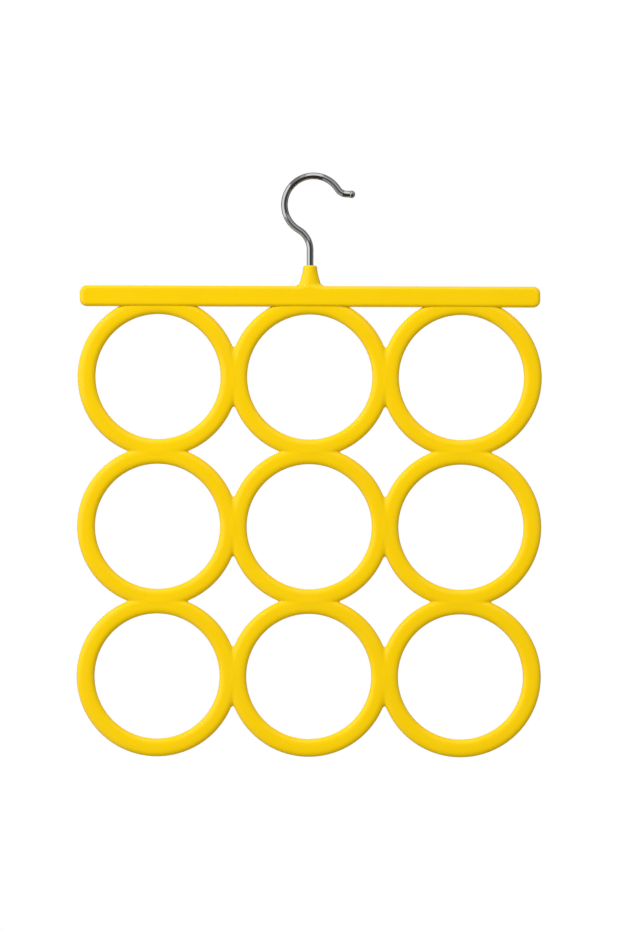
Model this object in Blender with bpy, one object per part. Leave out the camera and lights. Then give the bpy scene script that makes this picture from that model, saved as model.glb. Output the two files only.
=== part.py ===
# A hanger with nine rings under a bar, and a wire hook that turns in the bar's neck.
# Lengths are in metres. +Z is up, +X is to the right and the front faces -Y.
# The origin is on the swivel axis, on the inside of the hook's crown, where a rail carries the hanger.

import math

import bmesh
import bpy
from mathutils import Vector

# Hook: round wire, bent in one plane. Bend radii are to the wire's centreline.
wire_diameter = 0.0040
loop_radius = 0.0174
loop_offset = 0.0019  # the loop's centre lies this far to the right of the swivel axis
diagonal_run = 0.0014  # straight wire between the neck bend and the loop
neck_bend_radius = 0.0140
shank_showing = 0.0093  # straight wire between the neck boss and the neck bend
loop_end_angle = math.radians(33)  # where the loop gives way to the tip bend, above level
tip_bend_radius = 0.0065
tip_droop = math.radians(2.5)  # the tip points this far below level
tip_straight = 0.0028
tip_ball_diameter = 0.0045
tip_ball_half_length = 0.0018

# Hook's foot: an upset head that holds the shank in the neck and lets it turn
head_diameter = 0.0056
head_height = 0.0020
head_chamfer = 0.0004
head_below_bar_top = 0.0040

# Clearances
running_clearance = 0.0001  # round the shank and its head
head_play = 0.0003  # above and below the head
seam_gap = 0.0003  # between two pieces of the frame that meet

# Neck boss
boss_wall = 0.0021  # round the shank at the boss's top
boss_height = 0.0124
boss_foot_half_width = 0.0060  # above the fillet that runs out on the bar
boss_flare_power = 1.6
boss_fillet = 0.0032
boss_top_rounding = 0.0012
boss_setback = 0.0002  # the boss stays this far behind the bar's front and back faces
boss_root = 0.0030  # how deep the boss is sunk in the bar

# Top bar
bar_height = 0.0124
bar_corner_radius = 0.0042  # seen from the front
bar_edge_radius = 0.0020  # along its long edges
bar_end_inset = 0.0012  # the bar's ends lie this far inside the outer rings' sides
socket_wall = 0.0016  # in front of and behind the hook's head

# Rings
ring_opening_radius = 0.0375
ring_band = 0.0107  # across the band, from the opening to the outside
ring_depth = 0.0070  # front to back
ring_section_power = 3.0  # 2 is an ellipse, and higher is squarer
ring_overlap_across = 0.0054  # how far neighbours in a row would run into each other
ring_overlap_down = 0.0066  # the same, in a column
ring_sunk_in_bar = 0.0061  # how far the top rings' outlines run up into the bar

# Counts
row_names = ("top", "centre", "bottom")
column_names = ("left", "middle", "right")
ring_steps = 40
section_points = 16
round_steps = 24
bar_bevel_segments = 3
corner_steps = 4
loop_steps = 24
bend_steps = 6
ball_steps = 5
boss_levels = 8
wire_bevel_resolution = 4

# Worked out from the sizes above
wire_radius = wire_diameter / 2
head_radius = head_diameter / 2
ring_outer_radius = ring_opening_radius + ring_band
ring_pitch_across = 2 * ring_outer_radius - ring_overlap_across
ring_pitch_down = 2 * ring_outer_radius - ring_overlap_down
bore_radius = wire_radius + running_clearance
pocket_radius = head_radius + running_clearance
boss_top_radius = bore_radius + boss_wall
bar_depth = 2 * (pocket_radius + socket_wall)
bar_length = (len(column_names) - 1) * ring_pitch_across + 2 * (ring_outer_radius - bar_end_inset)

crown_inside_radius = loop_radius - wire_radius
loop_centre = Vector((loop_offset, 0, -math.sqrt(crown_inside_radius**2 - loop_offset**2)))
bend_spacing = math.hypot(neck_bend_radius + loop_radius, diagonal_run)  # between the two bends' centres
neck_bend_z = loop_centre.z - math.sqrt(bend_spacing**2 - (neck_bend_radius + loop_offset) ** 2)
boss_top_z = neck_bend_z - shank_showing
bar_top_z = boss_top_z - boss_height
bar_middle_z = bar_top_z - bar_height / 2
head_top_z = bar_top_z - head_below_bar_top
head_bottom_z = head_top_z - head_height
top_row_z = bar_top_z - bar_height + ring_sunk_in_bar - ring_outer_radius


def clear_scene():
    for obj in list(bpy.data.objects):
        bpy.data.objects.remove(obj)


def make_material(name, colour, roughness, metallic):
    material = bpy.data.materials.new(name)
    material.use_nodes = True
    shader = material.node_tree.nodes["Principled BSDF"]
    shader.inputs["Base Color"].default_value = (*colour, 1)
    shader.inputs["Roughness"].default_value = roughness
    shader.inputs["Metallic"].default_value = metallic
    return material


def yellow_plastic():
    return make_material("yellow_plastic", (0.95, 0.63, 0.004), 0.38, 0.0)


def chromed_steel():
    return make_material("chromed_steel", (0.72, 0.73, 0.75), 0.08, 1.0)


def add_object(name, data, parent, place=(0, 0, 0), material=None):
    """Adds an object whose place is given in the hanger's frame, under a parent empty that isn't turned."""
    obj = bpy.data.objects.new(name, data)
    bpy.context.scene.collection.objects.link(obj)
    obj.parent = parent
    obj.location = Vector(place) - parent.location
    if material:
        data.materials.append(material)
    return obj


def add_empty(name, place):
    empty = bpy.data.objects.new(name, None)
    bpy.context.scene.collection.objects.link(empty)
    empty.empty_display_size = 0.01
    empty.location = place
    return empty


def as_helper(obj):
    """Marks an object that only shapes others."""
    obj.hide_render = True
    obj.display_type = "WIRE"
    return obj


def finished_mesh(name, bm, smooth_angle=math.radians(35)):
    bmesh.ops.recalc_face_normals(bm, faces=bm.faces)
    mesh = bpy.data.meshes.new(name)
    bm.to_mesh(mesh)
    bm.free()
    mesh.shade_smooth()
    mesh.set_sharp_from_angle(angle=smooth_angle)
    return mesh


def closed_loop(bm, points):
    """Adds a closed loop of edges through the points, and gives its vertices and edges."""
    verts = [bm.verts.new(point) for point in points]
    edges = [bm.edges.new((a, b)) for a, b in zip(verts, verts[1:] + verts[:1])]
    return verts, edges


def boolean(obj, other, operation):
    modifier = obj.modifiers.new(f"{operation.lower()}_{other.name}", "BOOLEAN")
    modifier.operation = operation
    modifier.solver = "EXACT"
    modifier.object = other


def arc(centre, radius, start, end, steps):
    """Points on an arc in the hook's plane. Angles run from +X towards +Z."""
    angles = [start + (end - start) * i / steps for i in range(steps + 1)]
    return [centre + radius * Vector((math.cos(a), 0, math.sin(a))) for a in angles]


def hook_bends():
    """The bent part of the wire's centreline, from the top of the straight shank to the start of the tip.

    The neck bend turns left, a straight run is tangent to it and to the loop, the loop goes over the top
    to the right, and the tip bend turns the wire level again.
    """
    neck_centre = Vector((-neck_bend_radius, 0, neck_bend_z))
    across = loop_centre - neck_centre
    centre_line_angle = math.atan2(across.z, across.x)
    tangent_offset = math.acos((neck_bend_radius + loop_radius) / across.length)
    neck_end = centre_line_angle - tangent_offset
    neck = arc(neck_centre, neck_bend_radius, 0, neck_end, bend_steps)
    loop = arc(loop_centre, loop_radius, neck_end + math.pi, loop_end_angle, loop_steps)
    tip_direction = Vector((math.cos(loop_end_angle), 0, math.sin(loop_end_angle)))
    tip_centre = loop_centre + (loop_radius + tip_bend_radius) * tip_direction
    tip = arc(tip_centre, tip_bend_radius, loop_end_angle + math.pi, 1.5 * math.pi - tip_droop, bend_steps)
    return neck + loop + tip[1:]


def foot_stations():
    """(point, radius) pairs up the hook's head and its shoulder, from the bottom."""
    heights_and_radii = (
        (head_bottom_z, head_radius - head_chamfer),
        (head_bottom_z + head_chamfer, head_radius),
        (head_top_z - head_chamfer, head_radius),
        (head_top_z, wire_radius),
    )
    return [(Vector((0, 0, z)), radius) for z, radius in heights_and_radii]


def tip_stations(bend_end):
    """(point, radius) pairs along the straight tip and round its ball."""
    direction = Vector((math.cos(tip_droop), 0, -math.sin(tip_droop)))
    ball_radius = tip_ball_diameter / 2
    neck_angle = math.asin(wire_radius / ball_radius)
    ball_middle = tip_straight + tip_ball_half_length * math.cos(neck_angle)
    stations = [(bend_end + direction * tip_straight, wire_radius)]
    for i in range(1, ball_steps + 1):
        angle = neck_angle + (math.radians(165) - neck_angle) * i / ball_steps
        along = ball_middle - tip_ball_half_length * math.cos(angle)
        stations.append((bend_end + direction * along, ball_radius * math.sin(angle)))
    return stations


def make_hook(parent, material):
    """One bent wire with a head at its foot and a ball at its tip, as a bevelled curve."""
    bends = hook_bends()
    stations = foot_stations() + [(point, wire_radius) for point in bends] + tip_stations(bends[-1])
    curve = bpy.data.curves.new("hook", "CURVE")
    curve.dimensions = "3D"
    curve.bevel_depth = wire_radius
    curve.bevel_resolution = wire_bevel_resolution
    curve.use_fill_caps = True
    spline = curve.splines.new("POLY")
    spline.points.add(len(stations) - 1)
    for spline_point, (place, radius) in zip(spline.points, stations):
        spline_point.co = (*place, 1)
        spline_point.radius = radius / wire_radius
    spline.use_smooth = True
    return add_object("hook", curve, parent, material=material)


def rounded_rectangle(length, height, corner):
    """Points of a rounded rectangle in the XZ plane, counter-clockwise."""
    points = []
    for i, (side_x, side_z) in enumerate(((1, 1), (-1, 1), (-1, -1), (1, -1))):
        centre = Vector((side_x * (length / 2 - corner), 0, side_z * (height / 2 - corner)))
        start = i * math.pi / 2
        points += arc(centre, corner, start, start + math.pi / 2, corner_steps)
    return points


def bar_mesh(name, grow=0.0):
    """The bar as a rounded plate, extruded front to back and bevelled round both faces."""
    bm = bmesh.new()
    outline = rounded_rectangle(bar_length + 2 * grow, bar_height + 2 * grow, bar_corner_radius + grow)
    front_y = -bar_depth / 2 - grow
    verts, _ = closed_loop(bm, [point + Vector((0, front_y, 0)) for point in outline])
    front = bm.faces.new(verts)
    extruded = bmesh.ops.extrude_face_region(bm, geom=[front])
    back_verts = [item for item in extruded["geom"] if isinstance(item, bmesh.types.BMVert)]
    bmesh.ops.translate(bm, verts=back_verts, vec=(0, -2 * front_y, 0))
    bmesh.ops.recalc_face_normals(bm, faces=bm.faces)
    rims = [edge for edge in bm.edges if abs(edge.verts[0].co.y - edge.verts[1].co.y) < 1e-6]
    bmesh.ops.bevel(
        bm, geom=rims, offset=bar_edge_radius + grow, segments=bar_bevel_segments, profile=0.5, affect="EDGES"
    )
    return finished_mesh(name, bm)


def boss_half_widths():
    """(height above the bar's top, half width) pairs up the boss: its fillet, its flare and its rounded top."""
    top_of_flare = boss_height - boss_top_rounding
    pairs = [(-boss_root, boss_foot_half_width + boss_fillet), (0.0, boss_foot_half_width + boss_fillet)]
    for i in range(1, boss_levels + 1):
        height = boss_fillet * (i / boss_levels) ** 2
        inward = math.sqrt(boss_fillet**2 - (boss_fillet - height) ** 2)
        pairs.append((height, boss_foot_half_width + boss_fillet - inward))
    for i in range(1, boss_levels + 1):
        share = i / boss_levels
        height = boss_fillet + (top_of_flare - boss_fillet) * share
        flare = (boss_foot_half_width - boss_top_radius) * (1 - share) ** boss_flare_power
        pairs.append((height, boss_top_radius + flare))
    for i in range(1, corner_steps + 1):
        angle = math.pi / 2 * i / corner_steps
        rounding = boss_top_rounding * (1 - math.cos(angle))
        pairs.append((top_of_flare + boss_top_rounding * math.sin(angle), boss_top_radius - rounding))
    return pairs


def make_neck_boss(parent):
    """The boss as a loft through oval sections: wide along the bar at its foot, round at its top."""
    bm = bmesh.new()
    foot_half_depth = bar_depth / 2 - boss_setback
    angles = [2 * math.pi * i / round_steps for i in range(round_steps)]
    loops = []
    for height, half_width in boss_half_widths():
        share = max(0.0, height) / boss_height
        widest = foot_half_depth + (boss_top_radius - foot_half_depth) * share
        half_depth = min(half_width, widest)
        points = [(half_width * math.cos(a), half_depth * math.sin(a), height) for a in angles]
        loops.append(closed_loop(bm, points))
    for (_, lower), (_, upper) in zip(loops, loops[1:]):
        bmesh.ops.bridge_loops(bm, edges=lower + upper)
    bm.faces.new(loops[0][0])
    bm.faces.new(loops[-1][0])
    return as_helper(add_object("neck_boss_shape", finished_mesh("neck_boss_shape", bm), parent, (0, 0, bar_top_z)))


def make_hook_socket(parent):
    """The cutter for the shank's bore and the wider pocket for its head, turned about the swivel axis."""
    bm = bmesh.new()
    above_boss = boss_top_z + bore_radius
    profile = (
        (0, above_boss),
        (bore_radius, above_boss),
        (bore_radius, head_top_z + head_play),
        (pocket_radius, head_top_z + head_play),
        (pocket_radius, head_bottom_z - head_play),
        (0, head_bottom_z - head_play),
    )
    verts = [bm.verts.new((radius, 0, z)) for radius, z in profile]
    edges = [bm.edges.new(pair) for pair in zip(verts, verts[1:])]
    bmesh.ops.spin(
        bm, geom=verts + edges, cent=(0, 0, 0), axis=(0, 0, 1), angle=2 * math.pi, steps=round_steps, use_merge=True
    )
    bmesh.ops.remove_doubles(bm, verts=bm.verts, dist=1e-6)
    return as_helper(add_object("hook_socket_cutter", finished_mesh("hook_socket_cutter", bm), parent))


def make_top_bar(parent, material):
    bar = add_object("top_bar", bar_mesh("top_bar"), parent, (0, 0, bar_middle_z), material)
    boolean(bar, make_neck_boss(parent), "UNION")
    boolean(bar, make_hook_socket(parent), "DIFFERENCE")
    return bar


def ring_section():
    """The band's section as a superellipse, as points (distance from the ring's axis, 0, 0) moved in Y."""
    points = []
    power = 2 / ring_section_power
    for i in range(section_points):
        angle = 2 * math.pi * i / section_points
        across = math.copysign(abs(math.cos(angle)) ** power, math.cos(angle))
        through = math.copysign(abs(math.sin(angle)) ** power, math.sin(angle))
        radius = ring_opening_radius + ring_band / 2 * (1 + across)
        points.append((radius, ring_depth / 2 * through, 0))
    return points


def cut_flat(bm, distance, direction):
    """Cuts away what lies beyond the distance in that direction, and closes the cut with a flat face."""
    normal = Vector(direction)
    everything = bm.verts[:] + bm.edges[:] + bm.faces[:]
    cut = bmesh.ops.bisect_plane(
        bm, geom=everything, dist=1e-7, plane_co=normal * distance, plane_no=normal, clear_outer=True
    )
    rim = [item for item in cut["geom_cut"] if isinstance(item, bmesh.types.BMEdge)]
    bmesh.ops.edgeloop_fill(bm, edges=rim)


def ring_mesh(name, row, column):
    """A turned ring with a flat wherever a neighbouring ring joins it."""
    bm = bmesh.new()
    verts, edges = closed_loop(bm, ring_section())
    bmesh.ops.spin(
        bm, geom=verts + edges, cent=(0, 0, 0), axis=(0, 1, 0), angle=2 * math.pi, steps=ring_steps, use_merge=True
    )
    bmesh.ops.recalc_face_normals(bm, faces=bm.faces)
    across = ring_pitch_across / 2 - seam_gap / 2
    down = ring_pitch_down / 2 - seam_gap / 2
    if column > 0:
        cut_flat(bm, across, (-1, 0, 0))
    if column < len(column_names) - 1:
        cut_flat(bm, across, (1, 0, 0))
    if row > 0:
        cut_flat(bm, down, (0, 0, 1))
    if row < len(row_names) - 1:
        cut_flat(bm, down, (0, 0, -1))
    return finished_mesh(name, bm)


def make_rings(parent, material):
    """Three rows of three rings. The top row is cut to seat under the bar and round its lower edges."""
    bar_room = add_object("bar_room_cutter", bar_mesh("bar_room_cutter", seam_gap), parent, (0, 0, bar_middle_z))
    as_helper(bar_room)
    middle_column = (len(column_names) - 1) / 2
    for row, row_name in enumerate(row_names):
        for column, column_name in enumerate(column_names):
            name = f"ring_{row_name}_{column_name}"
            x = (column - middle_column) * ring_pitch_across
            z = top_row_z - row * ring_pitch_down
            ring = add_object(name, ring_mesh(name, row, column), parent, (x, 0, z), material)
            if row == 0:
                boolean(ring, bar_room, "DIFFERENCE")


def main():
    clear_scene()
    rail_contact = add_empty("rail_contact", (0, 0, 0))
    swivel = add_empty("swivel", (0, 0, boss_top_z))
    make_hook(rail_contact, chromed_steel())
    plastic = yellow_plastic()
    make_top_bar(swivel, plastic)
    make_rings(swivel, plastic)


main()
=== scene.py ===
import math

import bmesh
import bpy
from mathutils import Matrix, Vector


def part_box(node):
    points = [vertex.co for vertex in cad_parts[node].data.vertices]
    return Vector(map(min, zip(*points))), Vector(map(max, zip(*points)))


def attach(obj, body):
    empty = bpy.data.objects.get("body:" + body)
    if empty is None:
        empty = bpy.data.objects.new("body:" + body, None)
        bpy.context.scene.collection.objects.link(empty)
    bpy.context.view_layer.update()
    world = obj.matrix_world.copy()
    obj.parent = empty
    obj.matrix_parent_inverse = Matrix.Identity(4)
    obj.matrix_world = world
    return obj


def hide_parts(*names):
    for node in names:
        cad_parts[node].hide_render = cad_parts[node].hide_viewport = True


# A hanger with nine rings under a bar, and a chromed wire hook that turns in the bar's neck.
# Lengths are in metres, +Z is up and the front faces -Y, as in the CAD frame.

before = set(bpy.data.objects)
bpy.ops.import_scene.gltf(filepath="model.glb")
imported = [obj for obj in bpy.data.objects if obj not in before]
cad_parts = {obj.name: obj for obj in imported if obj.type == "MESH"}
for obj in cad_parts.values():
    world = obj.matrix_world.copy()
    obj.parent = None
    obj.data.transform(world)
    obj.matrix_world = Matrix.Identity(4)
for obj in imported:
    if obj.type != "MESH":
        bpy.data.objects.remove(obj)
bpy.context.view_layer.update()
print("frame loaded:", len(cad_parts), "nodes")


# A number that runs through a node tree, so that sums can be written as sums.
class Reading:
    def __init__(self, tree, socket):
        self.tree, self.socket = tree, socket

    def step(self, operation, *others):
        return calc(self.tree, operation, self, *others)

    def __add__(self, other):
        return self.step("ADD", other)

    def __sub__(self, other):
        return self.step("SUBTRACT", other)

    def __rsub__(self, other):
        return calc(self.tree, "SUBTRACT", other, self)

    def __mul__(self, other):
        return self.step("MULTIPLY", other)

    def __truediv__(self, other):
        return self.step("DIVIDE", other)

    def __rtruediv__(self, other):
        return calc(self.tree, "DIVIDE", other, self)

    def __pow__(self, other):
        return self.step("POWER", other)

    __radd__, __rmul__ = __add__, __mul__


# Gives a socket another node's output, or a plain value.
def feed(tree, socket, value):
    if isinstance(value, Reading):
        value = value.socket
    if isinstance(value, bpy.types.NodeSocket):
        tree.links.new(value, socket)
    else:
        socket.default_value = value


def calc(tree, operation, *values):
    node = tree.nodes.new("ShaderNodeMath")
    node.operation = operation
    for socket, value in zip(node.inputs, values):
        feed(tree, socket, value)
    return Reading(tree, node.outputs[0])


def clamp(tree, value):
    return calc(tree, "MINIMUM", calc(tree, "MAXIMUM", value, 0.0), 1.0)


def addNode(tree, kind, inputs=None, **settings):
    node = tree.nodes.new(kind)
    for name, value in settings.items():
        setattr(node, name, value)
    for name, value in (inputs or {}).items():
        feed(tree, node.inputs[name], value)
    return node


def vectorCalc(tree, operation, *values):
    node = addNode(tree, "ShaderNodeVectorMath", operation=operation)
    for socket, value in zip([s for s in node.inputs if s.enabled], values):
        feed(tree, socket, value)
    return next(s for s in node.outputs if s.enabled)


def joinXyz(tree, x, y, z):
    return addNode(tree, "ShaderNodeCombineXYZ", {"X": x, "Y": y, "Z": z}).outputs[0]


def splitXyz(tree, vector):
    node = addNode(tree, "ShaderNodeSeparateXYZ", {"Vector": vector})
    return [Reading(tree, socket) for socket in node.outputs]


def newTree(name, kind, inputs, outputs):
    tree = bpy.data.node_groups.new(name, kind)
    for label, socketType, value in inputs:
        socket = tree.interface.new_socket(label, in_out="INPUT", socket_type="NodeSocket" + socketType)
        if value is not None:
            socket.default_value = value
    for label, socketType in outputs:
        tree.interface.new_socket(label, in_out="OUTPUT", socket_type="NodeSocket" + socketType)
    inside = {socket.name: socket for socket in tree.nodes.new("NodeGroupInput").outputs if socket.name}
    return tree, inside, tree.nodes.new("NodeGroupOutput").inputs


def useGroup(tree, group, inputs):
    kind = "ShaderNodeGroup" if group.bl_idname == "ShaderNodeTree" else "GeometryNodeGroup"
    node = tree.nodes.new(kind)
    node.node_tree = group
    for name, value in inputs.items():
        feed(tree, node.inputs[name], value)
    return node


def putInScene(name, data):
    piece = bpy.data.objects.new(name, data)
    bpy.context.scene.collection.objects.link(piece)
    return piece


# Runs a Geometry Nodes tree once on a starting mesh, and keeps what it makes as a plain mesh.
def grow(name, tree, settings, startMesh=None):
    piece = putInScene(name, startMesh or bpy.data.meshes.new(name + "Start"))
    modifier = piece.modifiers.new(tree.name, "NODES")
    modifier.node_group = tree
    for item in tree.interface.items_tree:
        if item.item_type == "SOCKET" and item.in_out == "INPUT" and item.name in settings:
            modifier[item.identifier] = settings[item.name]
    return settle(piece)


# Applies an object's modifiers.
def settle(piece):
    bpy.context.view_layer.update()
    depsgraph = bpy.context.evaluated_depsgraph_get()
    mesh = bpy.data.meshes.new_from_object(
        piece.evaluated_get(depsgraph), preserve_all_data_layers=True, depsgraph=depsgraph
    )
    piece.modifiers.clear()
    piece.data = mesh
    mesh.name = piece.name
    return piece


# Fine unevenness of a moulded or plated surface, as a height.
def fineGrainGroup():
    tree, given, out = newTree(
        "fineGrain",
        "ShaderNodeTree",
        [("Vector", "Vector", None), ("Grains per Metre", "Float", 2500.0), ("Waves per Metre", "Float", 90.0),
         ("Wave Share", "Float", 0.5)],
        [("Height", "Float")],
    )
    grain = addNode(tree, "ShaderNodeTexNoise", {
        "Vector": given["Vector"], "Scale": given["Grains per Metre"], "Detail": 3.0, "Roughness": 0.55})
    wave = addNode(tree, "ShaderNodeTexNoise", {
        "Vector": given["Vector"], "Scale": given["Waves per Metre"], "Detail": 1.0, "Roughness": 0.4})
    share = Reading(tree, given["Wave Share"])
    height = Reading(tree, wave.outputs[0]) * share + Reading(tree, grain.outputs[0]) * (1.0 - share)
    feed(tree, out["Height"], height)
    return tree


# Slow drift of a colour over the surface, as pigment and plating have it.
def toneDriftGroup():
    tree, given, out = newTree(
        "toneDrift",
        "ShaderNodeTree",
        [("Vector", "Vector", None), ("Patches per Metre", "Float", 25.0), ("Colour", "Color", (1, 1, 1, 1)),
         ("Drift Colour", "Color", (1, 1, 1, 1)), ("Amount", "Float", 0.5)],
        [("Colour", "Color")],
    )
    patches = addNode(tree, "ShaderNodeTexNoise", {
        "Vector": given["Vector"], "Scale": given["Patches per Metre"], "Detail": 4.0, "Roughness": 0.6,
        "Distortion": 0.4})
    spread = addNode(tree, "ShaderNodeMapRange", {
        "Value": patches.outputs[0], "From Min": 0.35, "From Max": 0.65}, interpolation_type="SMOOTHSTEP")
    mask = Reading(tree, spread.outputs[0])
    mix = addNode(tree, "ShaderNodeMix", data_type="RGBA")
    for socket, value in zip((mix.inputs[0], mix.inputs[6], mix.inputs[7]),
                             (mask * Reading(tree, given["Amount"]), given["Colour"], given["Drift Colour"])):
        feed(tree, socket, value)
    feed(tree, out["Colour"], mix.outputs[2])
    return tree


# Marks from handling: soft smudges, and hairline scratches in two directions.
def handlingGroup():
    tree, given, out = newTree(
        "handlingMarks",
        "ShaderNodeTree",
        [("Vector", "Vector", None), ("Smudges per Metre", "Float", 40.0),
         ("Scratches per Metre", "Float", 160.0), ("Scratch Share", "Float", 0.4)],
        [("Mask", "Float")],
    )
    smudge = addNode(tree, "ShaderNodeTexNoise", {
        "Vector": given["Vector"], "Scale": given["Smudges per Metre"], "Detail": 5.0, "Roughness": 0.65})
    smudgeMask = addNode(tree, "ShaderNodeMapRange", {
        "Value": smudge.outputs[0], "From Min": 0.5, "From Max": 0.72}, interpolation_type="SMOOTHSTEP")
    hairTurns, hairTilt, hairStretch, hairSharpness, hairRounding = (0.5, 2.1), 0.3, 14.0, 60.0, 0.2
    lines = None
    for turn in hairTurns:
        turned = addNode(tree, "ShaderNodeMapping", {
            "Vector": given["Vector"], "Rotation": (0.0, turn, hairTilt), "Scale": (1.0, 1.0, hairStretch)})
        hair = addNode(tree, "ShaderNodeTexNoise", {
            "Vector": turned.outputs[0], "Scale": given["Scratches per Metre"], "Detail": 1.0})
        fromMiddle = calc(tree, "ABSOLUTE", Reading(tree, hair.outputs[0]) - 0.5)
        line = calc(tree, "SMOOTH_MIN", fromMiddle * hairSharpness, 1.0, hairRounding)
        lines = line if lines is None else lines * line
    scratch = 1.0 - lines
    mask = Reading(tree, smudgeMask.outputs[0]) * (1.0 - Reading(tree, given["Scratch Share"]))
    feed(tree, out["Mask"], mask + scratch * Reading(tree, given["Scratch Share"]))
    return tree


fineGrain = fineGrainGroup()
toneDrift = toneDriftGroup()
handlingMarks = handlingGroup()


def newMaterial(name):
    material = bpy.data.materials.new(name)
    material.use_nodes = True
    return material, material.node_tree, material.node_tree.nodes["Principled BSDF"]


# What both finishes share: a colour that drifts, handling marks that dull the gloss, and a fine relief.
def dressSurface(tree, shader, look, spot, relief):
    tone = useGroup(tree, toneDrift, {
        "Vector": spot, "Patches per Metre": look["patches"], "Colour": look["colour"],
        "Drift Colour": look["driftColour"], "Amount": look["drift"]})
    marks = useGroup(tree, handlingMarks, {
        "Vector": spot, "Smudges per Metre": look["smudges"], "Scratches per Metre": look["scratches"],
        "Scratch Share": look["scratchShare"]})
    smoothest, roughest = look["roughness"]
    roughness = addNode(tree, "ShaderNodeMapRange", {
        "Value": marks.outputs["Mask"], "From Min": 0.0, "From Max": 1.0,
        "To Min": smoothest, "To Max": roughest})
    bump = addNode(tree, "ShaderNodeBump", {
        "Strength": look["bump"], "Distance": look["bumpDistance"], "Height": relief})
    feed(tree, shader.inputs["Base Color"], tone.outputs["Colour"])
    feed(tree, shader.inputs["Roughness"], roughness.outputs[0])
    feed(tree, shader.inputs["Normal"], bump.outputs[0])


def yellowPlastic():
    look = {
        "colour": (0.95, 0.622, 0.0, 1), "driftColour": (0.93, 0.592, 0.0, 1), "drift": 0.5,
        "patches": 28.0, "smudges": 35.0, "scratches": 150.0, "scratchShare": 0.3,
        "roughness": (0.12, 0.19), "specular": 0.42, "ior": 1.49,
        "grains": 2600.0, "waves": 85.0, "waveShare": 0.7, "bump": 0.10, "bumpDistance": 0.0004,
        "partingWidth": 0.00016, "partingBump": 0.35,
    }
    material, tree, shader = newMaterial("yellowPlastic")
    spot = addNode(tree, "ShaderNodeTexCoord").outputs["Object"]
    grain = useGroup(tree, fineGrain, {
        "Vector": spot, "Grains per Metre": look["grains"], "Waves per Metre": look["waves"],
        "Wave Share": look["waveShare"]})
    # the line where the two halves of the mould met runs round every edge at half depth
    fromMiddle = calc(tree, "ABSOLUTE", splitXyz(tree, spot)[1])
    parting = addNode(tree, "ShaderNodeMapRange", {
        "Value": fromMiddle, "From Min": 0.0, "From Max": look["partingWidth"], "To Min": 1.0, "To Max": 0.0},
        interpolation_type="SMOOTHSTEP").outputs[0]
    relief = Reading(tree, grain.outputs["Height"]) + Reading(tree, parting) * look["partingBump"]
    dressSurface(tree, shader, look, spot, relief)
    shader.inputs["IOR"].default_value = look["ior"]
    shader.inputs["Specular IOR Level"].default_value = look["specular"]
    return material


def chromedSteel():
    look = {
        "colour": (0.64, 0.645, 0.655, 1), "driftColour": (0.56, 0.56, 0.57, 1), "drift": 0.35,
        "patches": 120.0, "smudges": 220.0, "scratches": 500.0, "scratchShare": 0.35,
        "roughness": (0.06, 0.16), "bump": 0.05, "bumpDistance": 0.0001,
        "linesRound": 6.0, "wavesRound": 2.0, "waveShare": 0.4,
    }
    material, tree, shader = newMaterial("chromedSteel")
    spot = addNode(tree, "ShaderNodeTexCoord").outputs["Object"]
    along = addNode(tree, "ShaderNodeAttribute", attribute_name="wireFlow").outputs["Vector"]
    # the drawing die left lines along the wire, and the attribute follows them round the bends
    drawLines = useGroup(tree, fineGrain, {
        "Vector": along, "Grains per Metre": look["linesRound"], "Waves per Metre": look["wavesRound"],
        "Wave Share": look["waveShare"]})
    dressSurface(tree, shader, look, spot, drawLines.outputs["Height"])
    shader.inputs["Metallic"].default_value = 1.0
    return material


yellow = yellowPlastic()
chrome = chromedSteel()
print("materials made")


# Sizes read from the frame
def seamBetween(lower, upper, axis):
    return (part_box(lower)[1][axis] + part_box(upper)[0][axis]) / 2


seamLeft = seamBetween("ring_centre_left", "ring_centre_middle", 0)
seamRight = seamBetween("ring_centre_middle", "ring_centre_right", 0)
seamHigh = seamBetween("ring_centre_middle", "ring_top_middle", 2)
seamLow = seamBetween("ring_bottom_middle", "ring_centre_middle", 2)
pitchAcross = seamRight - seamLeft
pitchDown = seamHigh - seamLow
middleAxis = Vector(((seamLeft + seamRight) / 2, 0, (seamHigh + seamLow) / 2))
outerRadius = middleAxis.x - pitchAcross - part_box("ring_centre_left")[0].x
openingRadius = min(
    (vert.co - middleAxis).xz.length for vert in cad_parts["ring_centre_middle"].data.vertices
)
ringLow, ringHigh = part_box("ring_centre_middle")
barLow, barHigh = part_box("top_bar")


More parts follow.
